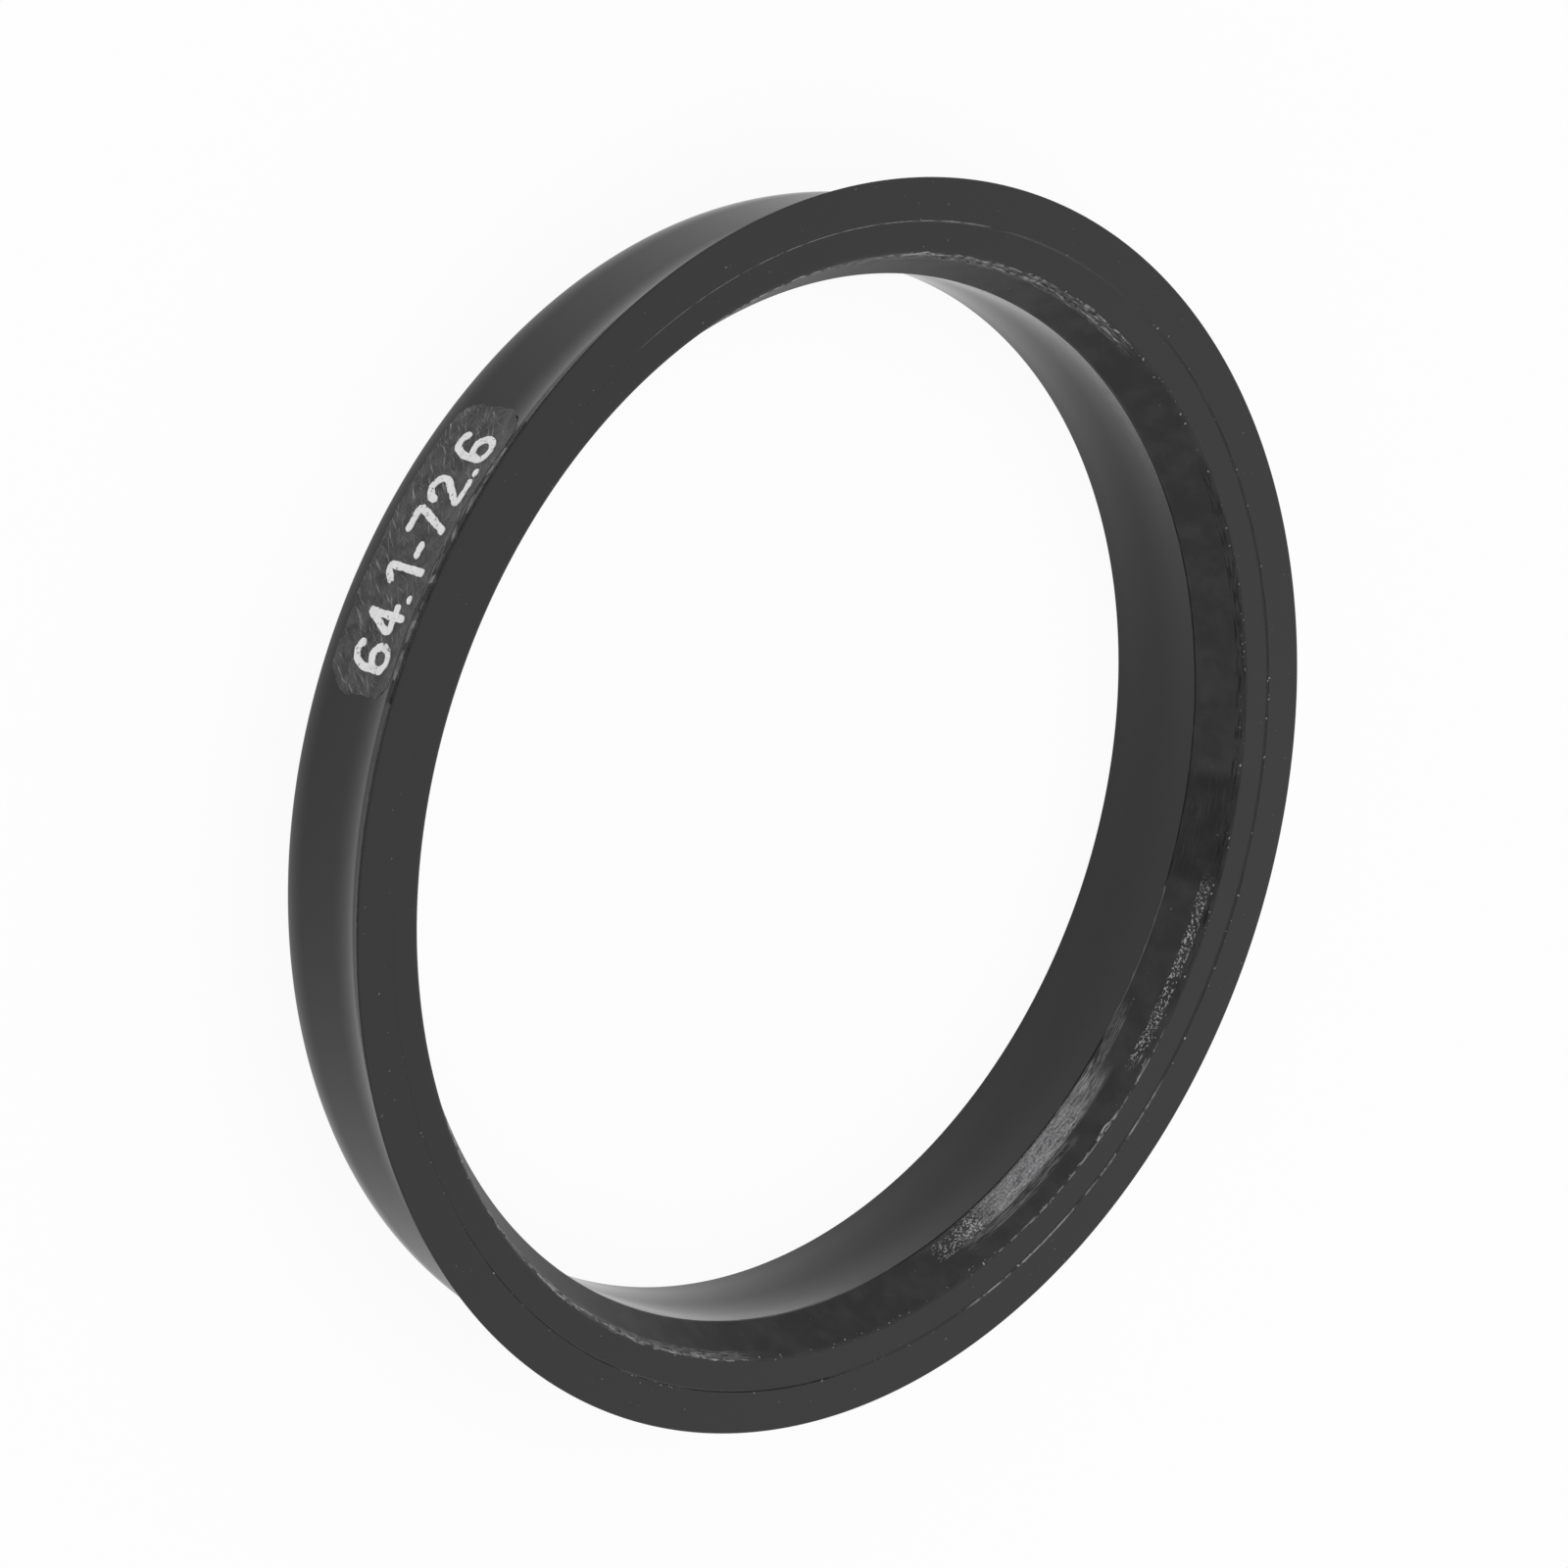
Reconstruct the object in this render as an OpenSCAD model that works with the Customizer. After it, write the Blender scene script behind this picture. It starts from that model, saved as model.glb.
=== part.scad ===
// Hub centric ring: the one-piece moulded spacer ring that fills the gap between the centre bore
// of a car wheel and the spigot of the hub, so that the wheel sits true on the hub.
// The ring lies on its small end. Its axis is +Z, and the lip that stops it in the wheel is on top.
// One closed section, drawn to the right of the axis, is turned once round it.

/* [Bore, over the hub spigot] */
// Diameter of the bore
bore_d = 64.1; // [50:0.1:80]
// Width of the chamfer at the mouth of the bore, along the radius
chamfer_w = 1.75; // [0.6:0.05:2]
// Height of that chamfer, along the axis
chamfer_h = 2.75; // [1:0.05:3.2]
// How much the bore opens from its straight back end to the chamfer, along the radius
taper_w = 0.3; // [0.1:0.05:0.5]
// Height over which it opens, along the axis
taper_h = 3.5; // [1:0.05:4]
// Round on the edge between the lip face and the chamfer
mouth_round = 0.3; // [0.1:0.05:0.6]
// Small chamfer at the back end of the bore
bore_back_chamfer = 0.15; // [0.1:0.05:0.5]

/* [Seat, in the wheel] */
// Wall between the bore and the straight seat, half the difference of the two diameters
wall = 4.25; // [3.2:0.05:12]
// Overall height, from the back face to the lip face
ring_h = 9.5; // [8.5:0.1:16]
// Height of the rounded lead-in, from the back face to the start of the straight seat
lead_h = 1.6; // [1.2:0.1:2]
// How far the lead-in draws in towards the back face
lead_in = 0.3; // [0.15:0.05:0.5]
// Round on the back outer edge, where the lead-in meets the back face
back_round = 0.3; // [0.1:0.05:0.4]

/* [Lip] */
// How far the lip stands out past the seat
lip_out = 2.35; // [1:0.05:3.5]
// Height of the hollow flare that swells from the seat out to the lip
flare_h = 4.5; // [4:0.1:5.6]
// Height of the narrow straight rim round the lip
rim_h = 0.25; // [0.2:0.05:0.8]
// Round on the edge between the rim and the lip face
rim_round = 0.15; // [0.1:0.01:0.18]
// Depth of the low step in the lip face, where the inner part of the face lies lower
step_h = 0.12; // [0.05:0.01:0.2]
// How far that step lies inside the line of the seat
step_in = 0.25; // [0.1:0.05:0.6]

/* [Hidden] */
$fn = 180;
// Radii of the bore, the seat and the lip
bore_r = bore_d / 2;
seat_r = bore_r + wall;
lip_r = seat_r + lip_out;
// How far the cutting shapes reach past the surfaces that they cut
past = 0.5;
// A hair by which an arc crosses the line or arc that it runs into, so that the two meet in one edge
hair = 0.0001;
// The flare is an arc that leaves the seat along it and reaches the rim after flare_h
flare_r = (pow(flare_h, 2) + pow(lip_out, 2)) / (2 * lip_out);
flare_z = ring_h - rim_h - flare_h;
// The lead-in is an arc that leaves the seat the other way
lead_r = (pow(lead_h, 2) + pow(lead_in, 2)) / (2 * lead_in);
lead_x = seat_r - lead_r;
// Centre of the back round, which touches both the lead-in arc and the back face
back_x = lead_x + sqrt(pow(lead_r - back_round, 2) - pow(lead_h - back_round, 2));
// Direction from the lead-in arc's centre to the point where the back round touches that arc
back_turn = atan2(back_round - lead_h, back_x - lead_x);
// Radius of the low step, and the height of the face inside it
step_r = seat_r - step_in;
face_z = ring_h - step_h;
// Heights at which the chamfer and the opening part of the bore below it end
chamfer_z = face_z - chamfer_h;
taper_z = chamfer_z - taper_h;
// Edge of the lip face at the mouth of the bore, the slope of the chamfer, and how far the round
// there runs along each side
mouth_r = bore_r + taper_w + chamfer_w;
mouth_turn = atan2(chamfer_h, chamfer_w);
mouth_run = mouth_round * tan(mouth_turn / 2);

// Cuts the corner p down to a round: a and b are the points where the round, with its centre at c,
// touches the two sides of the corner
module corner_cut(a, p, b, c, r) {
    difference() {
        polygon([a, p, b]);
        translate(c) circle(r + 2 * hair);
    }
}

// Blank of the section: the straight wall of the ring with the square lip on top
module wall_blank() {
    translate([bore_r, 0]) square([wall, ring_h]);
    translate([seat_r - past, flare_z]) square([lip_out + past, ring_h - flare_z]);
}

// Hollow of the flare, below the rim
module flare_hollow() {
    translate([seat_r + flare_r, flare_z]) circle(flare_r + hair);
}

// Material outside the lead-in arc
module lead_cut() {
    difference() {
        translate([seat_r - lead_in - past, -past]) square([lead_in + 2 * past, lead_h + past]);
        translate([lead_x, lead_h]) circle(lead_r + hair);
    }
}

// Corner left between the lead-in arc and the back face
module back_cut() {
    corner_cut(
        [lead_x + lead_r * cos(back_turn), lead_h + lead_r * sin(back_turn)],
        [seat_r, -past],
        [back_x, 0],
        [back_x, back_round],
        back_round
    );
}

// Edge between the rim and the lip face
module rim_cut() {
    corner_cut(
        [lip_r, ring_h - rim_round],
        [lip_r, ring_h],
        [lip_r - rim_round, ring_h],
        [lip_r - rim_round, ring_h - rim_round],
        rim_round
    );
}

// Opening part of the bore, the chamfer at its mouth, and the lower part of the lip face round them
module mouth_cut() {
    polygon([
        [bore_r - taper_w, taper_z - taper_h],
        [bore_r + taper_w, chamfer_z],
        [mouth_r, face_z],
        [step_r, face_z],
        [step_r, ring_h + past],
        [bore_r - taper_w, ring_h + past]
    ]);
    corner_cut(
        [mouth_r - mouth_run * cos(mouth_turn), face_z - mouth_run * sin(mouth_turn)],
        [mouth_r, face_z],
        [mouth_r + mouth_run, face_z],
        [mouth_r + mouth_run, face_z - mouth_round],
        mouth_round
    );
}

// Small chamfer at the back end of the bore
module bore_back_cut() {
    polygon([
        [bore_r - past, -past],
        [bore_r - past, bore_back_chamfer + past],
        [bore_r + bore_back_chamfer + past, -past]
    ]);
}

// Closed section of the ring, to the right of the axis
module section() {
    difference() {
        wall_blank();
        flare_hollow();
        lead_cut();
        back_cut();
        rim_cut();
        mouth_cut();
        bore_back_cut();
    }
}

// The ring, in black moulded plastic
module ring() {
    color([0.05, 0.05, 0.055]) rotate_extrude() section();
}

ring();
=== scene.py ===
# %% [markdown]
# # A hub centric ring, from the bare frame to the picture
# A hub centric ring is a moulded plastic ring that fills the gap between the hub of a car and the
# bore of a wheel. This one lies on its small end, with its axis along +Z and its lip on top.
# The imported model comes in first. It is the fixed frame that the looks are built round.

# %% Frame and modules
import math
import random

import bmesh
import bpy
from mathutils import Matrix, Vector, noise


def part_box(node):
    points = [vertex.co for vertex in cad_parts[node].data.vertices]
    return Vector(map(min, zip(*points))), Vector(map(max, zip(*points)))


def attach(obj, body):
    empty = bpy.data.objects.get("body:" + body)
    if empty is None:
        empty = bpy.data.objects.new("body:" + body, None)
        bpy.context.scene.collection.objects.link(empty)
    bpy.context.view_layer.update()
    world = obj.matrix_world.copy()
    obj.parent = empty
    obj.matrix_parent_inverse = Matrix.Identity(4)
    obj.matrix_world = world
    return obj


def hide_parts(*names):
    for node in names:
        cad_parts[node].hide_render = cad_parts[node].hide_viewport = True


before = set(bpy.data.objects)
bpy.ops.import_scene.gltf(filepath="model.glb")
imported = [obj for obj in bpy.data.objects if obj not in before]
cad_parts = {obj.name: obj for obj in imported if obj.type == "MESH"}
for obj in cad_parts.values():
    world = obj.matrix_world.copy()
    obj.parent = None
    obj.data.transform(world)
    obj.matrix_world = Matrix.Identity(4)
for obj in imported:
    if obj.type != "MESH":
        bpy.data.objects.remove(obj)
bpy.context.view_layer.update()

# %% [markdown]
# ## Units
# Blender works in metres, and a drawing of a small part is easier to read in millimetres.
# One named factor keeps the two apart, so every length below is a length in millimetres times MM.

# %% Units and the sizes taken from the frame
MM = 0.001
low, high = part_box("ring")
RING_H = high.z
LIP_R = high.x
print("height", round(RING_H / MM, 3), "mm, lip radius", round(LIP_R / MM, 3), "mm")

# %% [markdown]
# ## Camera
# The photograph was taken from well away with a long lens, looking at the lip face at a slant.
# The camera is placed by three angles round the middle of the lip face and a distance, because
# those can be measured from the ellipses that the ring's circles make in the picture.
# The ring isn't in the middle of the frame, so the lens is shifted a little.

# %% Camera
IMAGE = 1600
TARGET = Vector((0, 0, RING_H))
AZIMUTH = math.radians(10.37)
ELEVATION = math.radians(43.58)
ROLL = math.radians(108.56)
DISTANCE = 500.6 * MM
PIXELS_PER_MM = 17.0213
SENSOR = 36.0
CENTRE_X, CENTRE_Y = 868.8, 830.1

away = Vector((
    math.sin(AZIMUTH) * math.cos(ELEVATION),
    -math.cos(AZIMUTH) * math.cos(ELEVATION),
    math.sin(ELEVATION),
))
camera_data = bpy.data.cameras.new("camera")
camera_data.sensor_width = SENSOR
camera_data.lens = PIXELS_PER_MM * DISTANCE / MM * SENSOR / IMAGE
camera_data.shift_x = (IMAGE / 2 - CENTRE_X) / IMAGE
camera_data.shift_y = (CENTRE_Y - IMAGE / 2) / IMAGE
camera_data.clip_start = 10 * MM
camera_data.clip_end = 20
camera = bpy.data.objects.new("camera", camera_data)
bpy.context.scene.collection.objects.link(camera)
upright = (-away).to_track_quat("-Z", "Y").to_matrix()
camera.matrix_world = (
    Matrix.Translation(TARGET + away * DISTANCE)
    @ (upright @ Matrix.Rotation(ROLL, 3, "Z")).to_4x4()
)
bpy.context.scene.camera = camera
print("lens", round(camera_data.lens, 1), "mm, shift",
      round(camera_data.shift_x, 4), round(camera_data.shift_y, 4))

# %% [markdown]
# ## Section of the ring
# The real ring is moulded and then faced on a lathe, so every surface is turned round one axis.
# It could be built from cylinders and loops, but one closed section that is spun round the axis
# gives every surface at once and keeps the arcs true.
# The section is drawn as with a pen: a straight run extrudes the last point, and an arc spins
# that point round the arc's centre. Short steps at the ends of a straight run keep the smooth
# shading of a round from leaking into the flat beside it.

# %% A pen for the section
class Pen:
    """Draws a line of points in the XZ plane, with x as the radius. Lengths are in millimetres."""

    def __init__(self, mesh, x, z):
        self.mesh = mesh
        start = bmesh.ops.create_vert(mesh, co=(x * MM, 0, z * MM))
        self.tip = start["vert"][0]

    def run(self, x, z, steps=1, ease=0.04):
        """A straight run to x, z, with a short step of length ease at each end."""
        start = self.tip.co.copy()
        end = Vector((x * MM, 0, z * MM))
        share = ease * MM / (end - start).length
        inner = [share + (1 - 2 * share) * i / steps for i in range(steps + 1)]
        for part in inner + [1]:
            grown = bmesh.ops.extrude_vert_indiv(self.mesh, verts=[self.tip])
            self.tip = grown["verts"][0]
            self.tip.co = start.lerp(end, part)

    def arc(self, x, z, degrees, steps):
        """An arc round the centre x, z. Positive degrees turn from the z axis towards the x axis."""
        turned = bmesh.ops.spin(
            self.mesh, geom=[self.tip], cent=(x * MM, 0, z * MM), axis=(0, 1, 0),
            angle=math.radians(degrees), steps=steps,
        )
        self.tip = [v for v in turned["geom_last"] if isinstance(v, bmesh.types.BMVert)][0]


# %% [markdown]
# The lengths of the section are those of the CAD part. They include a very low step in the lip
# face, which shows in the picture as a hair line round it. Two places are drawn more finely than
# in the CAD part, within 0.2 mm of it: the bore opens in a soft S, and the flare runs out straight
# to a thin rim. Both follow how the light falls off along those surfaces.

# %% Sizes of the section, in millimetres
BORE_R = 32.05
SEAT_R = 36.3
TAPER_H = 4.2
TAPER_TOP = 1.05
TAPER_W = 0.3
CHAMFER_H = 2.75
CHAMFER_W = 1.75
MOUTH_ROUND = 0.3
EDGE_BREAK = 0.15
LEAD_H = 1.6
LEAD_IN = 0.3
BACK_ROUND = 0.3
FLARE_H = 4.85
FLARE_ROUND = 5.65
RIM_H = 0.10
RIM_ROUND = 0.08
STEP_R = 36.05
STEP_H = 0.12
STEP_W = 0.12
lip_r = LIP_R / MM
height = RING_H / MM
lip_out = lip_r - SEAT_R
flare_z = height - RIM_H - FLARE_H
lead_r = (LEAD_H ** 2 + LEAD_IN ** 2) / (2 * LEAD_IN)
lead_x = SEAT_R - lead_r
back_x = lead_x + math.sqrt((lead_r - BACK_ROUND) ** 2 - (LEAD_H - BACK_ROUND) ** 2)
back_turn = math.degrees(math.atan2(LEAD_H - BACK_ROUND, back_x - lead_x))
taper_r = (TAPER_H ** 2 + TAPER_W ** 2) / (4 * TAPER_W)
taper_turn = math.degrees(math.asin(TAPER_H / 2 / taper_r))
flare_reach = math.hypot(FLARE_H, lip_out - FLARE_ROUND)
flare_lean = math.pi - math.atan2(FLARE_H, lip_out - FLARE_ROUND)
flare_lean -= math.acos(FLARE_ROUND / flare_reach)
flare_turn = math.degrees(flare_lean)
flare_x = SEAT_R + FLARE_ROUND * (1 - math.cos(flare_lean))
flare_top = flare_z + FLARE_ROUND * math.sin(flare_lean)
print("lead-in radius", round(lead_r, 3), "turns",
      round(flare_turn, 1), round(back_turn, 1))

# %% Draw the section
section = bmesh.new()
pen = Pen(section, BORE_R, EDGE_BREAK)
face_z = height - STEP_H
chamfer_z = face_z - CHAMFER_H
mouth_r = BORE_R + TAPER_W + CHAMFER_W
pen.run(BORE_R, chamfer_z - TAPER_TOP - TAPER_H, steps=1)
pen.arc(BORE_R + taper_r, chamfer_z - TAPER_TOP - TAPER_H, taper_turn, 8)
pen.arc(BORE_R + TAPER_W - taper_r, chamfer_z - TAPER_TOP, -taper_turn, 8)
pen.run(BORE_R + TAPER_W, chamfer_z, steps=1)
rise = math.atan2(CHAMFER_H, CHAMFER_W)
mouth_run = MOUTH_ROUND * math.tan(rise / 2)
pen.run(mouth_r - mouth_run * math.cos(rise), face_z - mouth_run * math.sin(rise), steps=10)
pen.arc(mouth_r + mouth_run, face_z - MOUTH_ROUND, math.degrees(rise), 6)
pen.run(STEP_R - STEP_W, face_z, steps=3)
pen.run(STEP_R, height, steps=1, ease=0.01)
pen.run(lip_r - RIM_ROUND, height, steps=3)
pen.arc(lip_r - RIM_ROUND, height - RIM_ROUND, 90, 8)
pen.run(lip_r, height - RIM_H, steps=1)
pen.run(flare_x, flare_top, steps=3)
pen.arc(SEAT_R + FLARE_ROUND, flare_z, -flare_turn, 16)
pen.run(SEAT_R, LEAD_H, steps=3)
pen.arc(lead_x, LEAD_H, back_turn, 6)
pen.arc(back_x, BACK_ROUND, 90 - back_turn, 8)
pen.run(BORE_R + EDGE_BREAK, 0, steps=3)
pen.run(BORE_R, EDGE_BREAK, steps=1, ease=0.02)
bmesh.ops.remove_doubles(section, verts=section.verts[:], dist=0.001 * MM)
print("section points", len(section.verts), "edges", len(section.edges))

# %% [markdown]
# ## Spinning the section
# A full spin with use_merge joins its last copy to the first, so the ring has no seam.
# The steps are fine enough for the edge to stay round at the size of the picture.
# Normals are recalculated after the spin, because a spin can leave a mesh inside out.

# %% Spin the ring
STEPS_ROUND = 480
MERGE_WITHIN = 0.0005
bmesh.ops.spin(
    section, geom=section.verts[:] + section.edges[:], cent=(0, 0, 0), axis=(0, 0, 1),
    angle=math.tau, steps=STEPS_ROUND, use_merge=True, use_duplicate=False,
)
bmesh.ops.remove_doubles(section, verts=section.verts[:], dist=MERGE_WITHIN * MM)
bmesh.ops.recalc_face_normals(section, faces=section.faces[:])
print("ring of", len(section.faces), "faces, open edges",
      sum(not edge.is_manifold for edge in section.edges))

# %% [markdown]
# ## Scraped places
# The real chamfer has been scraped in a few places, and the plastic there is rough and torn.
# Displacement of the whole ring would need a mesh that is fine all over, so only the faces in
# those places are cut finer, and noise that is drawn out along the turn pushes their points.
# The edges to cut are kept in the order in which they are found, which a Python set wouldn't promise.

# %% Scrape the chamfer
MOUTH_EDGE = 34.4
SCRAPE_R = 34
GRAIN_ROUND, GRAIN_UP, GRAIN_LEAN = 0.5, 0.13, 0.9
FADE_UP, FADE_ROUND = 8, 4
SCRAPES = (
    # middle and half of the arc in degrees, lower and upper height, and depth, in millimetres
    (67.9, 15.5, 6.75, 8.00, 0.022),
    (94.9, 10.5, 8.35, 9.00, 0.020),
    (203.4, 30.0, 8.60, 9.30, 0.045),
    (-6.6, 30.0, 8.75, 9.30, 0.040),
)


def off_middle(co, middle):
    """Degrees of the turn between a point and the middle of an arc, from -180 to 180."""
    return (math.degrees(math.atan2(co.y, co.x)) - middle + 180) % 360 - 180


def in_mouth(co):
    """Whether a point is nearer to the axis than the flat part of the lip face."""
    return math.hypot(co.x, co.y) / MM < MOUTH_EDGE


for middle, half, low_z, high_z, depth in SCRAPES:
    cut = set()
    for face in section.faces:
        spot = face.calc_center_median()
        within = low_z < spot.z / MM < high_z and in_mouth(spot)
        if within and abs(off_middle(spot, middle)) < half:
            cut.update(face.edges)
    bmesh.ops.subdivide_edges(section, edges=list(cut), cuts=3, use_grid_fill=True)
    section.normal_update()
    moved = 0
    for vert in section.verts:
        height_share = (vert.co.z / MM - low_z) / (high_z - low_z)
        turn_share = off_middle(vert.co, middle) / half
        fade = min(1, FADE_UP * height_share * (1 - height_share))
        fade *= min(1, FADE_ROUND * (1 - abs(turn_share)))
        if fade > 0 and 0 < height_share < 1 and in_mouth(vert.co):
            around = math.radians(turn_share * half) * SCRAPE_R
            up = vert.co.z / MM / GRAIN_UP + around / GRAIN_LEAN
            grain = Vector((around / GRAIN_ROUND, up, middle))
            vert.co += vert.normal * noise.noise(grain) * depth * fade * MM
            moved += 1
    print("scrape at", middle, "degrees moved", moved, "points")
bmesh.ops.recalc_face_normals(section, faces=section.faces[:])

# %% [markdown]
# ## Making pieces
# A face has a front and a back, and a mesh that is inside out looks right in a render but not in
# every viewer. Recalculated normals agree with each other, but they can all point inwards. The
# volume of a closed shell comes out negative then, so that sign decides which shells are turned.

# %% Turn every shell right side out
def face_outwards(made):
    """Turns the closed shells of a mesh whose faces look inwards, and says how many there were."""
    bmesh.ops.recalc_face_normals(made, faces=made.faces[:])
    seen = set()
    turned = 0
    for start in made.faces[:]:
        if start in seen:
            continue
        seen.add(start)
        shell = [start]
        for face in shell:
            joined = [near for edge in face.edges if edge.is_manifold for near in edge.link_faces]
            for near in joined:
                if near not in seen:
                    seen.add(near)
                    shell.append(near)
        base = start.verts[0].co.copy()
        volume = 0
        for face in shell:
            first, *rest = [vert.co - base for vert in face.verts]
            volume += sum(first.dot(a.cross(b)) for a, b in zip(rest, rest[1:]))
        if volume < 0:
            bmesh.ops.reverse_faces(made, faces=shell)
            turned += 1
    return turned


# %% Turn a mesh into a piece
def make_piece(name, made, sharp_degrees=None):
    """Turns a bmesh into an object of the part, smooth but for edges sharper than the angle."""
    turned = face_outwards(made)
    volume = made.calc_volume(signed=True) / MM ** 3
    print(name, "shells turned", turned, "volume in cubic mm", round(volume, 2))
    data = bpy.data.meshes.new(name)
    made.to_mesh(data)
    made.free()
    piece = bpy.data.objects.new(name, data)
    bpy.context.scene.collection.objects.link(piece)
    data.polygons.foreach_set("use_smooth", [sharp_degrees is not None] * len(data.polygons))
    if sharp_degrees is not None:
        data.set_sharp_from_angle(angle=math.radians(sharp_degrees))
    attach(piece, "root")
    print(name, "faces", len(data.polygons), "size in mm",
          [round(side / MM, 3) for side in piece.dimensions])
    return piece


ring = make_piece("ring_body", section, sharp_degrees=16)
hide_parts("ring")

# %% [markdown]
# ## The size mark
# Such a ring carries its two diameters on the seat, in numerals of white paint on a patch of clear
# film. Both lie on a surface that bends two ways: round the axis, and out along the flare.
# They could be projected by a Shrinkwrap modifier, but it is simpler to make them flat, with x along
# the writing and y up from its baseline, and then to send each vertex to its place on the wall.
# The writing runs round the seat with its tops towards the back face.

# %% Bending a flat piece onto the wall
# height of the writing's baseline
MARK_BASE = 5.9


def wall_radius(z):
    """Radius of the outer wall at height z, from the lead-in to the rim, in millimetres."""
    if z < LEAD_H:
        return lead_x + math.sqrt(lead_r ** 2 - (LEAD_H - z) ** 2)
    if z > flare_top:
        return flare_x + (z - flare_top) * math.tan(flare_lean)
    if z > flare_z:
        return SEAT_R + FLARE_ROUND - math.sqrt(FLARE_ROUND ** 2 - (z - flare_z) ** 2)
    return SEAT_R


def bend_to_wall(made):
    """Sends x to the turn round the axis, y to the height and z to the height above the wall."""
    for vert in made.verts:
        x, y, lift = (c / MM for c in vert.co)
        z = MARK_BASE - y
        turn = -math.pi / 2 - x / SEAT_R
        reach = wall_radius(z) + lift
        vert.co = (reach * math.cos(turn) * MM, reach * math.sin(turn) * MM, z * MM)
    bmesh.ops.recalc_face_normals(made, faces=made.faces[:])


def thicken(made, faces, thickness):
    """Gives flat faces a thickness, upwards, and closes them to a solid."""
    grown = bmesh.ops.extrude_face_region(made, geom=faces, use_keep_orig=True)
    top = [v for v in grown["geom"] if isinstance(v, bmesh.types.BMVert)]
    bmesh.ops.translate(made, verts=top, vec=(0, 0, thickness * MM))


print("wall radius at the baseline", round(wall_radius(MARK_BASE), 3), "mm")

# %% [markdown]
# ## The film under the numerals
# The film is a rounded patch, rubbed and uneven round its edge. It starts as a disc that is pulled
# out to a long patch. Cuts by rows of planes both ways give it the points that it needs to bend,
# and then a little noise moves the points of its outline.

# %% Film
FILM_LEFT, FILM_RIGHT = -9.2, 9.7
FILM_LOW, FILM_HIGH = -0.85, 4.7
FILM_ROUND = 2.0
FILM_THICK = 0.02
FILM_SEGMENTS = 96
CUT_PITCH_X, CUT_PITCH_Y = 0.25, 0.35
FINE_RAGS, FINE_REACH = 0.45, 0.18
BROAD_RAGS, BROAD_REACH = 2.0, 0.3
film_mesh = bmesh.new()
bmesh.ops.create_circle(
    film_mesh, cap_ends=True, segments=FILM_SEGMENTS, radius=FILM_ROUND * MM
)
stretch_x = (FILM_RIGHT - FILM_LEFT) / 2 - FILM_ROUND
stretch_y = (FILM_HIGH - FILM_LOW) / 2 - FILM_ROUND
for vert in film_mesh.verts:
    vert.co.x += math.copysign(stretch_x, vert.co.x) * MM
    vert.co.y += math.copysign(stretch_y, vert.co.y) * MM
middle = Vector(((FILM_LEFT + FILM_RIGHT) / 2, (FILM_LOW + FILM_HIGH) / 2, 0)) * MM
bmesh.ops.translate(film_mesh, verts=film_mesh.verts[:], vec=middle)


def cut_by_planes(made, along, start, end, pitch):
    """Cuts a mesh by planes square to the vector along, from start to end in millimetres."""
    count = round((end - start) / pitch)
    for i in range(1, count):
        place = along * (start + (end - start) * i / count) * MM
        whole = made.verts[:] + made.edges[:] + made.faces[:]
        bmesh.ops.bisect_plane(made, geom=whole, plane_co=place, plane_no=along, dist=1e-8)


cut_by_planes(film_mesh, Vector((1, 0, 0)), FILM_LEFT, FILM_RIGHT, CUT_PITCH_X)
cut_by_planes(film_mesh, Vector((0, 1, 0)), FILM_LOW, FILM_HIGH, CUT_PITCH_Y)
for vert in film_mesh.verts:
    if vert.is_boundary:
        fine_rag = noise.noise(vert.co / (FINE_RAGS * MM)) * FINE_REACH
        broad_rag = noise.noise(vert.co / (BROAD_RAGS * MM)) * BROAD_REACH
        vert.co += (vert.co - middle).normalized() * (fine_rag + broad_rag) * MM
thicken(film_mesh, film_mesh.faces[:], FILM_THICK)
bend_to_wall(film_mesh)
film = make_piece("mark_film", film_mesh, sharp_degrees=50)

# %% [markdown]
# ## The numerals
# The paint has strokes of one width with round ends, as from a round nib. A font would give stiff
# corners, so each numeral is drawn as a path: an edge as wide as the stroke is extruded along the
# straight runs and spun through the bends, and its halves are spun to round the two ends.
# A sharp corner is a spin round the inner end of that edge.

# %% A nib that draws strokes
STROKE = 0.48
RUN_STEP = 0.2
DEGREES_A_STEP = 12
CAP_STEPS = 8


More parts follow.
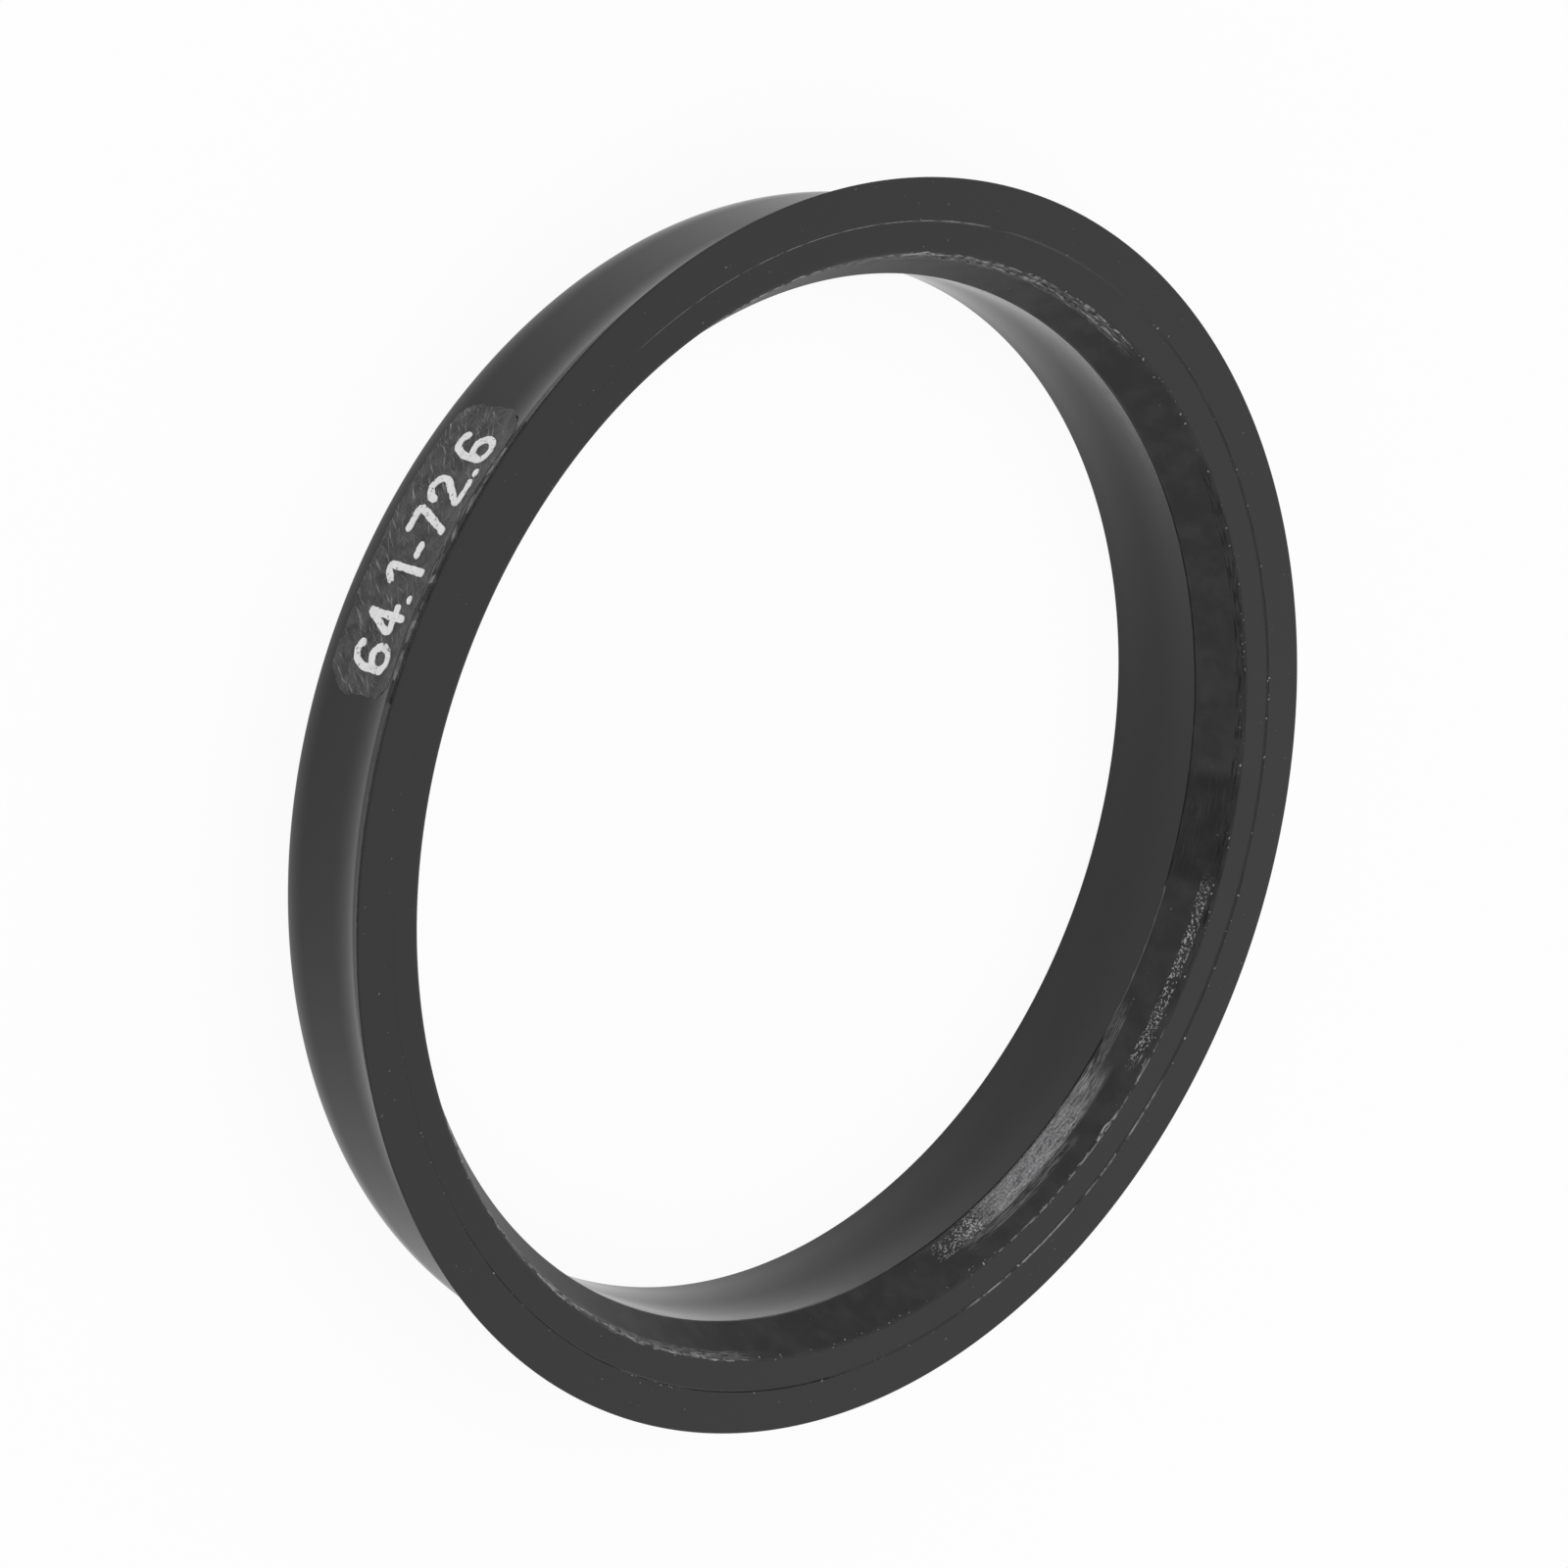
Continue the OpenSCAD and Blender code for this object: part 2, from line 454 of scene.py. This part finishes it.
class Nib:
    """Draws one stroke from x, y in millimetres. The heading is in degrees from the x axis."""

    def __init__(self, mesh, x, y, heading):
        self.mesh = mesh
        self.heading = heading
        self.centre = Vector((x, y, 0)) * MM
        places = [self.centre + self.left(), self.centre, self.centre - self.left()]
        self.verts = [bmesh.ops.create_vert(mesh, co=place)["vert"][0] for place in places]
        self.edges = [mesh.edges.new(self.verts[:2]), mesh.edges.new(self.verts[1:])]
        self.cap(math.pi)

    def ahead(self):
        turn = math.radians(self.heading)
        return Vector((math.cos(turn), math.sin(turn), 0))

    def left(self):
        """From the middle of the nib to its left end."""
        return Vector((-self.ahead().y, self.ahead().x, 0)) * STROKE / 2 * MM

    def sweep(self, geom, cent, angle, steps, move=Vector((0, 0, 0))):
        return bmesh.ops.spin(
            self.mesh, geom=geom, cent=cent, axis=(0, 0, 1), angle=angle, dvec=move / steps,
            steps=steps, use_duplicate=False,
        )["geom_last"]

    def cap(self, angle):
        """Rounds an end: the left half of the nib is spun half way round the middle."""
        left_end = self.centre + self.left()
        half = min(self.edges, key=lambda e: sum((v.co - left_end).length for v in e.verts))
        self.sweep(list(half.verts) + [half], self.centre, angle, CAP_STEPS)

    def follow(self, cent, angle, steps, move=Vector((0, 0, 0))):
        last = self.sweep(self.verts + self.edges, cent, angle, steps, move)
        self.verts = [g for g in last if isinstance(g, bmesh.types.BMVert)]
        self.edges = [g for g in last if isinstance(g, bmesh.types.BMEdge)]
        self.centre = cent + Matrix.Rotation(angle, 3, "Z") @ (self.centre - cent) + move
        self.heading += math.degrees(angle)

    def run(self, length):
        steps = max(1, round(length / RUN_STEP))
        self.follow(self.centre, 0, steps, self.ahead() * length * MM)

    def turn(self, radius, degrees):
        """A bend to the left, or to the right where degrees are negative."""
        cent = self.centre + self.left().normalized() * math.copysign(radius, degrees) * MM
        self.follow(cent, math.radians(degrees), max(2, round(abs(degrees) / DEGREES_A_STEP)))


# %% The paths of the numerals, 3.2 mm tall
PAINT_THICK = 0.06
# a second stroke of a numeral is a little thicker, so that the two don't share a surface
STROKE_ABOVE = 0.008
CORNER = STROKE / 2
NUMERALS = {
    # width, then the strokes: start x, start y, heading, moves; a move is a run by its length or
    # a turn by its radius and degrees
    "1": (1.60, [(0.20, 2.50, 40, [(0.62,), (CORNER, -130), (2.48,)])]),
    "2": (2.05, [(0.27, 2.25, 90, [(0.68, -220), (1.54,), (CORNER, 130), (1.15,)])]),
    "4": (2.10, [(1.22, 2.93, -117.7, [(1.785,), (CORNER, 117.7), (1.25,)]),
                 (1.30, 2.93, -90, [(2.69,)])]),
    "6": (2.08, [(0.24, 0.94, 90, [(0.70, -360), (0.84,), (1.60, -35), (0.62, -110)])]),
    "7": (2.00, [(0.27, 2.96, 0, [(1.10,), (CORNER, -112), (2.58,)])]),
    ".": (0.85, [(0.30, 0.26, 0, [(0.04,)])]),
    "-": (1.35, [(0.30, 1.35, 0, [(0.62,)])]),
}
MARK = "64.1-72.6"
TRACKING = 0.08

mark_mesh = bmesh.new()
pen_x = 0
for numeral in MARK:
    wide, strokes = NUMERALS[numeral]
    for order, (x, y, heading, moves) in enumerate(strokes):
        before = set(mark_mesh.faces)
        nib = Nib(mark_mesh, pen_x + x, y, heading)
        for move in moves:
            if len(move) == 1:
                nib.run(*move)
            else:
                nib.turn(*move)
        nib.cap(-math.pi)
        drawn = [f for f in mark_mesh.faces if f not in before]
        points = list({v for f in drawn for v in f.verts})
        bmesh.ops.remove_doubles(mark_mesh, verts=points, dist=0.002 * MM)
        drawn = [f for f in mark_mesh.faces if f not in before]
        thicken(mark_mesh, drawn, PAINT_THICK + STROKE_ABOVE * order)
    pen_x += wide + TRACKING
print("writing is", round(pen_x, 2), "mm long")

# %% [markdown]
# ## Rough edges of the paint
# Printed paint has edges that are a little uneven, so noise shifts the points of the outline. The
# noise that gives a vector takes its start from the clock, so these edges differ a little each run.

# %% Place the numerals
SHAKE_SIZE, SHAKE_REACH = 0.20, 0.075
right_end = max(v.co.x for v in mark_mesh.verts)
left_end = min(v.co.x for v in mark_mesh.verts)
bmesh.ops.translate(
    mark_mesh, verts=mark_mesh.verts[:], vec=(-(left_end + right_end) / 2, 0, FILM_THICK * MM)
)
for vert in mark_mesh.verts:
    flat = Vector((vert.co.x, vert.co.y, 0))
    shake = noise.noise_vector(flat / (SHAKE_SIZE * MM)) * SHAKE_REACH * MM
    vert.co.x += shake.x
    vert.co.y += shake.y
bend_to_wall(mark_mesh)
numerals = make_piece("size_mark", mark_mesh, sharp_degrees=40)

# %% [markdown]
# ## Torn strands
# Where the mouth of the bore was trimmed, thin strands of plastic hang along its edge. Hair
# curves would be one way, but flat strips with pointed ends are lighter and stay a closed mesh.
# Each strip is a narrow grid that is thickened, waved by noise and laid on the rounded edge.

# %% Laying a strip along the mouth of the bore
STRAND_PITCH = 0.15
BROAD_WAVE, BROAD_SWING = 1.1, 0.16
FINE_WAVE, FINE_SWING = 0.3, 0.04
STRAND_SUNK, STRAND_THICK, STRAND_CROWN = 0.01, 0.055, 0.03


def mouth_place(down, lift):
    """Radius and height, in millimetres, of a point down the chamfer from its round."""
    lean = rise - max(0, -down) / MOUTH_ROUND
    reach = MOUTH_ROUND + lift
    at_r = mouth_r + mouth_run - reach * math.sin(lean) - max(0, down) * math.cos(rise)
    at_z = face_z - MOUTH_ROUND + reach * math.cos(lean) - max(0, down) * math.sin(rise)
    return at_r, at_z


def add_strand(made, middle, length, down, width, seed):
    """One strand, centred at middle degrees of the turn. Lengths are in millimetres."""
    before = set(made.verts)
    segments = round(length / STRAND_PITCH)
    grown = bmesh.ops.create_grid(made, x_segments=segments, y_segments=2, size=1)
    thicken(made, list({f for v in grown["verts"] for f in v.link_faces}), 1)
    for vert in [v for v in made.verts if v not in before]:
        lifted = vert.co.z > 0.5 * MM
        taper = math.sqrt(max(0, 1 - vert.co.x ** 2)) + 0.05
        x = vert.co.x * length / 2
        wave = noise.noise(Vector((x / BROAD_WAVE, seed, 0))) * BROAD_SWING
        wave += noise.noise(Vector((x / FINE_WAVE, seed, 5))) * FINE_SWING
        lift = -STRAND_SUNK + lifted * taper * (STRAND_THICK - STRAND_CROWN * abs(vert.co.y))
        at_r, at_z = mouth_place(down + wave + vert.co.y * width / 2 * taper, lift)
        turn = math.radians(middle) + x / mouth_r
        vert.co = (at_r * math.cos(turn) * MM, at_r * math.sin(turn) * MM, at_z * MM)


# %% Torn strands
STRAND_ARCS = (
    # middle and half of the arc in degrees, number of strands, nearest and furthest down the slope
    (203.4, 28, 30, -0.12, 0.50),
    (-6.6, 27, 22, -0.15, 0.25),
    (72.9, 14, 5, -0.20, -0.05),
)
strand_mesh = bmesh.new()
dice = random.Random(11)
for middle, half, count, nearest, furthest in STRAND_ARCS:
    for i in range(count):
        spot = middle + half * dice.uniform(-1, 1)
        size = dice.uniform(1.2, 6.0)
        down = nearest + (furthest - nearest) * dice.random() ** 1.5
        add_strand(strand_mesh, spot, size, down, dice.uniform(0.05, 0.11), dice.uniform(0, 90))
bmesh.ops.recalc_face_normals(strand_mesh, faces=strand_mesh.faces[:])
strands = make_piece("torn_strands", strand_mesh, sharp_degrees=60)

# %% [markdown]
# ## Shader maths in Python
# A material is a tree of nodes, and a sum is one node with two wires. Written out, that hides
# what is meant, so one small class stands for a node's output, and adding or multiplying two of
# them adds the Math node.

# %% A class for one output of a node
class Wire:
    """One output of a node in a tree. Python's operators on it add Math nodes."""

    def __init__(self, tree, socket=None):
        self.tree = tree
        self.socket = socket

    def node(self, kind, settings=None, sockets=None, out=0):
        """Adds a node. Its settings are set first, then its sockets get values or wires."""
        made = self.tree.nodes.new(kind)
        for name, setting in (settings or {}).items():
            setattr(made, name, setting)
        for name, given in (sockets or {}).items():
            if isinstance(given, Wire):
                self.tree.links.new(given.socket, made.inputs[name])
            else:
                made.inputs[name].default_value = given
        return Wire(self.tree, made.outputs[out])

    def math(self, operation, *values):
        return self.node("ShaderNodeMath", {"operation": operation}, dict(enumerate(values)))

    def __add__(self, other):
        return self.math("ADD", self, other)

    def __sub__(self, other):
        return self.math("SUBTRACT", self, other)

    def __rsub__(self, other):
        return self.math("SUBTRACT", other, self)

    def __mul__(self, other):
        return self.math("MULTIPLY", self, other)

    def __truediv__(self, other):
        return self.math("DIVIDE", self, other)

    __radd__ = __add__
    __rmul__ = __mul__

    def step(self, start, end):
        """0 up to start and 1 from end, with a smooth rise between; start may be above end."""
        settings = {"interpolation_type": "SMOOTHSTEP"}
        sockets = {"Value": self, "From Min": start, "From Max": end}
        return self.node("ShaderNodeMapRange", settings, sockets)

    def noise(self, vector, scale, detail=2.0, roughness=0.5):
        sockets = {"Vector": vector, "Scale": scale, "Detail": detail, "Roughness": roughness}
        return self.node("ShaderNodeTexNoise", {}, sockets)

    def vector(self, x, y, z):
        return self.node("ShaderNodeCombineXYZ", {}, {"X": x, "Y": y, "Z": z})

    def blend(self, start, end):
        """The colour start where this is 0, and the colour end where it is 1."""
        sockets = {0: self, 6: (*start, 1), 7: (*end, 1)}
        return self.node("ShaderNodeMix", {"data_type": "RGBA"}, sockets, out=2)


# %% Starting and ending a material
def new_material(name):
    """A material with an empty tree, and the wire that starts its expressions."""
    material = bpy.data.materials.new(name)
    material.use_nodes = True
    material.node_tree.nodes.clear()
    return material, Wire(material.node_tree)


def object_place(w):
    """The shaded point in the object's own coordinates, as a vector and as its three parts."""
    place = w.node("ShaderNodeTexCoord", {}, {}, out="Object")
    split = w.node("ShaderNodeSeparateXYZ", {}, {"Vector": place}).socket.node
    return (place, *(Wire(w.tree, split.outputs[name]) for name in "XYZ"))


def cover(piece, material, shader):
    """Leads a shader to the output of its material and puts the material on a piece."""
    output = shader.tree.nodes.new("ShaderNodeOutputMaterial")
    shader.tree.links.new(shader.socket, output.inputs["Surface"])
    piece.data.materials.append(material)
    print(piece.name, "is covered by", material.name, "of", len(shader.tree.nodes), "nodes")


# %% [markdown]
# ## Black plastic, with its wear and painted light
# The plastic is nearly black and smooth, so what shows is mostly the white room mirrored in it.
# Wear could be painted on an image, but on a turned part it follows the turn, so it is placed by
# numbers: an arc in degrees, a belt of radius or height, and noise that is drawn out along the turn.
# Painted highlights and painted shade on the chamfer, the bore and the edges are placed the same way.

# %% Finding a place on the ring
plastic, w = new_material("ring_plastic")
place, x_at, y_at, z_at = object_place(w)
radius = w.math("SQRT", x_at * x_at + y_at * y_at)
# 1 in the mouth of the bore, and 1 on the part of the lip face that lies inside the seat's radius
inside = radius.step((MOUTH_EDGE + 0.05) * MM, MOUTH_EDGE * MM)
off_flare = radius.step(SEAT_R * MM, (SEAT_R - 0.1) * MM)


def arc(middle, half, soft):
    """1 on an arc of the turn, with soft ends, all in degrees."""
    middle, ends, fades = (math.radians(a) for a in (middle, half, half + soft))
    facing = (x_at * math.cos(middle) + y_at * math.sin(middle)) / radius
    return facing.step(math.cos(fades), math.cos(ends))


def belt(value, low, high, soft):
    """1 between two radii or heights, with soft edges, all in millimetres."""
    return value.step((low - soft) * MM, low * MM) * value.step((high + soft) * MM, high * MM)


def streaks(cells, across, detail=3.0):
    """Noise drawn out along the turn: cells to the radian, and a size across in millimetres."""
    along = (radius + z_at) * (1 / (across * MM))
    return w.noise(w.vector(x_at / radius * cells, y_at / radius * cells, along), 1.0, detail, 0.6)


print("nodes that find a place", len(w.tree.nodes))

# %% Noises that the wear shares
fine = streaks(38, 0.075)
crumbs = streaks(190, 0.15, 2.0)
wisps = streaks(24, 0.16)
breaks = streaks(40, 2.0, 2.0)
mottle = w.noise(place, 1 / (1.6 * MM), 3.0).step(0.35, 0.70)
print("nodes with the shared noises", len(w.tree.nodes))

# %% Pale scrapes and painted highlights
# pale patches on the chamfer: real scrapes, and in part a painted highlight where the chamfer mirrors
# the light
SCRAPED_AND_LIT = (
    # arc: middle, half, soft; heights: low, high, soft; noise, from, to; strength
    (71.5, 7.5, 5.0, 6.85, 7.75, 0.30, fine, 0.34, 0.60, 0.42),
    (67.0, 8.0, 4.0, 6.85, 7.70, 0.35, crumbs, 0.40, 0.62, 0.32),
    (65.0, 7.0, 3.0, 7.60, 8.30, 0.30, wisps, 0.40, 0.70, 0.28),
    (56.0, 2.5, 1.5, 6.95, 7.80, 0.20, crumbs, 0.55, 0.60, 0.60),
    (84.0, 4.0, 3.0, 6.80, 7.20, 0.15, fine, 0.46, 0.58, 0.20),
    (94.9, 8.0, 4.0, 8.50, 8.90, 0.15, crumbs, 0.54, 0.60, 0.80),
    (-6.6, 25.0, 7.0, 8.80, 9.28, 0.10, fine, 0.46, 0.60, 0.34),
    (203.4, 26.0, 8.0, 8.65, 9.25, 0.12, fine, 0.48, 0.60, 0.34),
)
wear_and_highlights = mottle * belt(z_at, 6.7, 9.3, 0.1) * inside * 0.03
for middle, half, soft, low_z, high_z, edge, grain, start, end, strength in SCRAPED_AND_LIT:
    patch = arc(middle, half, soft) * belt(z_at, low_z, high_z, edge) * inside
    wear_and_highlights = patch * grain.step(start, end) * strength + wear_and_highlights
# the painted highlight near the top of the bore stops where the chamfer starts
BORE_TOP_R = 32.36
BORE_HIGHLIGHT_FROM, BORE_HIGHLIGHT_FULL = 5.2, 6.5
in_bore = radius.step((BORE_TOP_R + 0.06) * MM, BORE_TOP_R * MM)
in_bore = in_bore * z_at.step(BORE_HIGHLIGHT_FROM * MM, BORE_HIGHLIGHT_FULL * MM)
# a pale mottled band near the top of the bore: painted highlight of its brighter grazing reflection
painted_bore_highlight = arc(192.0, 20.0, 26.0) + arc(10.0, 14.0, 22.0)
wear_and_highlights = in_bore * painted_bore_highlight * wisps.step(0.15, 0.70) * 0.30 + wear_and_highlights
print("scraped places", len(SCRAPED_AND_LIT))

# %% Painted highlights along the edges and the step
EDGE_HIGHLIGHTS = (
    # arc: middle, half, soft; what it follows, low, high; from, to; strength
    (68.4, 14.0, 3.0, radius, 36.00, 36.06, 0.35, 0.60, 0.60),
    (220.9, 19.0, 6.0, radius, 36.01, 36.06, 0.25, 0.65, 0.50),
    (72.9, 14.0, 3.0, radius, 34.12, 34.18, 0.42, 0.54, 0.42),
    (94.9, 8.0, 2.0, z_at, 6.60, 6.67, 0.20, 0.40, 0.60),
)
# thin pale lines where the step, the mouth round and the edge of the bore catch the light: painted
# highlights
for middle, half, soft, followed, low_end, high_end, start, end, strength in EDGE_HIGHLIGHTS:
    line = belt(followed, low_end, high_end, 0.02) * off_flare
    wear_and_highlights = arc(middle, half, soft) * line * breaks.step(start, end) * strength + wear_and_highlights
print("hair lines", len(EDGE_HIGHLIGHTS))

# %% White specks
SPECK_SIZE = 0.20
SPECKS_ABOVE = 6.5
dots = w.noise(place, 1 / (SPECK_SIZE * MM), 0.0)
near_edges = belt(radius, 36.00, 36.12, 0.05) + belt(radius, 33.95, 34.20, 0.05)
wear_and_highlights = dots.step(0.77, 0.82) * near_edges * arc(90, 120, 20) * 0.7 + wear_and_highlights
wear_and_highlights = dots.step(0.87, 0.90) * z_at.step(SPECKS_ABOVE * MM, (SPECKS_ABOVE + 0.1) * MM) * 0.3 + wear_and_highlights
# the pale wear and the painted highlights are summed and kept at most 1
wear_and_highlights = w.math("MINIMUM", wear_and_highlights, 1)
print("nodes with all the pale wear", len(w.tree.nodes))

# %% Dark lines of painted shade
PAINTED_SHADE_LINES = (
    # arc: middle, half, soft; what it follows, low, high, soft; from, to; strength
    (150.0, 100.0, 9.0, z_at, 6.59, 6.66, 0.03, 0.20, 0.50, 0.75),
    (-10.0, 11.5, 3.0, radius, 36.00, 36.05, 0.02, 0.30, 0.50, 0.70),
    (21.0, 12.5, 3.0, radius, 36.00, 36.05, 0.02, 0.30, 0.50, 0.70),
    (131.0, 37.0, 8.0, radius, 36.02, 36.05, 0.02, 0.40, 0.55, 0.35),
    (123.0, 25.0, 8.0, z_at, 8.90, 9.30, 0.08, 0.50, 0.60, 0.55),
    (111.0, 5.0, 2.0, z_at, 6.70, 9.30, 0.10, 0.30, 0.50, 0.30),
    (0.0, 180.0, 1.0, z_at, 0.00, 0.16, 0.03, 0.10, 0.30, 0.70),
)
# dark lines along the step, the mouth, the chamfer and both edges of the bore: painted shade where
# these turn from the light or meet the floor
painted_shade = 0
for middle, half, soft, followed, low_end, high_end, edge, start, end, strength in PAINTED_SHADE_LINES:
    line = belt(followed, low_end, high_end, edge) * off_flare
    amount = arc(middle, half, soft) * line * wisps.step(start, end) * strength
    painted_shade = w.math("MAXIMUM", amount, painted_shade)
print("dark lines", len(PAINTED_SHADE_LINES))

# %% Ring plastic
BLACK = (0.004, 0.004, 0.0042)
PALE_WEAR_AND_HIGHLIGHT = (0.42, 0.42, 0.43)
CHAMFER_OUT, CHAMFER_FULL = 34.3, 34.15
marks = streaks(9, 0.15, 3.0)
above_edge = z_at.step((chamfer_z - 0.03) * MM, (chamfer_z + 0.03) * MM)
on_chamfer = above_edge * radius.step(CHAMFER_OUT * MM, CHAMFER_FULL * MM)
# the black turns pale grey with the wear and with the painted highlights
tint = wear_and_highlights.blend(BLACK, PALE_WEAR_AND_HIGHLIGHT)
rough = on_chamfer * 0.38 + marks * 0.05 + 0.09 + wear_and_highlights * 0.3
bump = w.node("ShaderNodeBump", {}, {
    "Strength": 1.0, "Distance": 0.004 * MM, "Height": marks * 0.25 + wear_and_highlights,
})
shader = w.node("ShaderNodeBsdfPrincipled", {}, {
    "Base Color": tint, "Roughness": rough, "IOR": 1.5, "Normal": bump,
})
# a dark matte diffuse mixed over the plastic where the painted shade lies
painted_shade_black = w.node("ShaderNodeBsdfDiffuse", {}, {"Color": (0.006, 0.006, 0.006, 1)})
mixed = w.node("ShaderNodeMixShader", {}, {0: painted_shade, 1: shader, 2: painted_shade_black})
cover(ring, plastic, mixed)

# %% [markdown]
# ## The strands
# Torn plastic turns pale, because it is full of tiny cracks. Noise keeps the strands from being
# all of one grey.

# %% Torn plastic
torn, w = new_material("torn_plastic")
place = w.node("ShaderNodeTexCoord", {}, {}, out="Object")
paler = w.noise(place, 1 / (0.5 * MM), 2.0).step(0.35, 0.65)
tint = paler.blend((0.01, 0.01, 0.01), (0.30, 0.30, 0.305))
shader = w.node("ShaderNodeBsdfPrincipled", {}, {"Base Color": tint, "Roughness": 0.4, "IOR": 1.5})
cover(strands, torn, shader)

# %% [markdown]
# ## Film and paint
# The film is thin, rubbed and full of small scratches that run across it, and it is creased on the
# side away from the lip, where each crease is also painted paler: a painted highlight on its ridge.
# The paint is white, with faint streaks and a few chips, which show dark.
# Both could be scanned from a real mark, but noise that is drawn out one way gives lines that no
# picture file has to come along for.

# %% Scratched film
FILM_DARK = (0.015, 0.015, 0.015)
FILM_PALE = (0.45, 0.45, 0.45)
CREASED_BELOW, CREASED_FULLY = 4.8, 3.6
film_finish, w = new_material("mark_film")
place, across_film, _, up_film = object_place(w)


def scratches(lean, long, wide, start, end):
    """Fine lines: the lean of their run in degrees, and the size of the noise in millimetres."""
    lean = math.radians(lean)
    run = across_film * math.cos(lean) + up_film * math.sin(lean)
    side = up_film * math.cos(lean) - across_film * math.sin(lean)
    drawn = w.vector(run * (1 / (long * MM)), side * (1 / (wide * MM)), 0.0)
    return w.noise(drawn, 1.0, 2.0).step(start, end)


clouds = w.noise(place, 1 / (1.1 * MM), 4.0, 0.6).step(0.35, 0.70)
lines = scratches(35, 2.2, 0.10, 0.58, 0.68) * 0.8 + scratches(-20, 1.6, 0.08, 0.61, 0.69) * 0.6
lines = scratches(70, 1.2, 0.09, 0.60, 0.69) * 0.6 + lines
# each crease is a bump and also a paler tone: a painted highlight on its ridge
creases_and_highlights = scratches(50, 1.8, 0.22, 0.60, 0.66)
creases_and_highlights = creases_and_highlights * up_film.step(CREASED_BELOW * MM, CREASED_FULLY * MM)
rubbed_and_crease_highlights = w.math("MINIMUM", clouds * 0.15 + lines * 0.55 + creases_and_highlights * 0.40, 1)
tint = rubbed_and_crease_highlights.blend(FILM_DARK, FILM_PALE)
bump = w.node("ShaderNodeBump", {}, {
    "Strength": 1.0, "Distance": 0.08 * MM, "Height": clouds + lines + creases_and_highlights,
})
shader = w.node("ShaderNodeBsdfPrincipled", {}, {
    "Base Color": tint, "Roughness": clouds * 0.2 + 0.3, "IOR": 1.5, "Normal": bump,
})
cover(film, film_finish, shader)

# %% Chipped white paint
PAINT_WHITE = (0.95, 0.95, 0.95)
CHIP_DARK = (0.06, 0.06, 0.06)
paint, w = new_material("size_mark")
place, across_film, _, up_film = object_place(w)
streaky = scratches(0, 2.5, 0.12, 0.35, 0.65)
chips = w.noise(place, 1 / (0.28 * MM), 2.0, 0.7).step(0.62, 0.67)
faded = w.noise(place, 1 / (1.4 * MM), 2.0).step(0.62, 0.80) * 0.35
darkened = w.math("MINIMUM", chips * 0.75 + streaky * 0.10 + faded, 1)
tint = darkened.blend(PAINT_WHITE, CHIP_DARK)
bump = w.node("ShaderNodeBump", {"invert": True}, {
    "Strength": 1.0, "Distance": 0.01 * MM, "Height": chips + streaky * 0.3,
})
shader = w.node("ShaderNodeBsdfPrincipled", {}, {
    "Base Color": tint, "Roughness": streaky * 0.1 + 0.45, "Normal": bump,
})
cover(numerals, paint, shader)

# %% [markdown]
# ## Floor
# The photograph has a plain white ground. A white floor alone comes out grey at a soft light, and
# more light on it would also fall on the ring. So the floor gives its own white to the camera's
# rays, and a part of it to mirrored rays, and stays a plain pale floor to all the others. The
# share stays under 1, so that the shadow of the ring is kept.

# %% Floor
FLOOR_SIZE = 6.0
FLOOR_GAP = 0.02
floor_mesh = bmesh.new()
bmesh.ops.create_grid(floor_mesh, x_segments=1, y_segments=1, size=FLOOR_SIZE / 2)
bmesh.ops.translate(floor_mesh, verts=floor_mesh.verts[:], vec=(0, 0, -FLOOR_GAP * MM))
floor_data = bpy.data.meshes.new("floor")
floor_mesh.to_mesh(floor_data)
floor_mesh.free()
floor = bpy.data.objects.new("floor", floor_data)
bpy.context.scene.collection.objects.link(floor)
print("floor", FLOOR_SIZE, "m wide,", FLOOR_GAP, "mm below the ring")

# %% White of the floor
FLOOR_WHITE = 0.93
FLOOR_MIRRORED = 0.6
pale, w = new_material("floor_white")
diffuse = w.node("ShaderNodeBsdfDiffuse", {}, {"Color": (0.95, 0.95, 0.95, 1)})
glow = w.node("ShaderNodeEmission", {}, {"Color": (1, 1, 1, 1), "Strength": 1.0})
rays = w.node("ShaderNodeLightPath", {}, {}).socket.node
camera_rays, passed_rays, mirrored = (
    Wire(w.tree, rays.outputs[name])
    for name in ("Is Camera Ray", "Is Transmission Ray", "Is Glossy Ray")
)
seen = camera_rays + passed_rays
share = w.math("MINIMUM", seen * FLOOR_WHITE + mirrored * FLOOR_MIRRORED, FLOOR_WHITE)
mixed = w.node("ShaderNodeMixShader", {}, {0: share, 1: diffuse, 2: glow})
cover(floor, pale, mixed)

# %% [markdown]
# ## Light
# The ring was photographed in an even white surround, with no lamp to be seen in its gloss.
# Softboxes would show as bright bars in the seat, so the light is the world alone, plain white.

# %% World
WORLD_STRENGTH = 0.88
world = bpy.data.worlds.new("studio")
bpy.context.scene.world = world
world.use_nodes = True
background = world.node_tree.nodes["Background"]
background.inputs["Color"].default_value = (1, 1, 1, 1)
background.inputs["Strength"].default_value = WORLD_STRENGTH
print("world strength", WORLD_STRENGTH)

# %% [markdown]
# ## View transform
# The finished ring has to fill the same box as the CAD part. The picture goes through the Standard
# view transform.

# %% View transform
bpy.context.scene.view_settings.view_transform = "Standard"
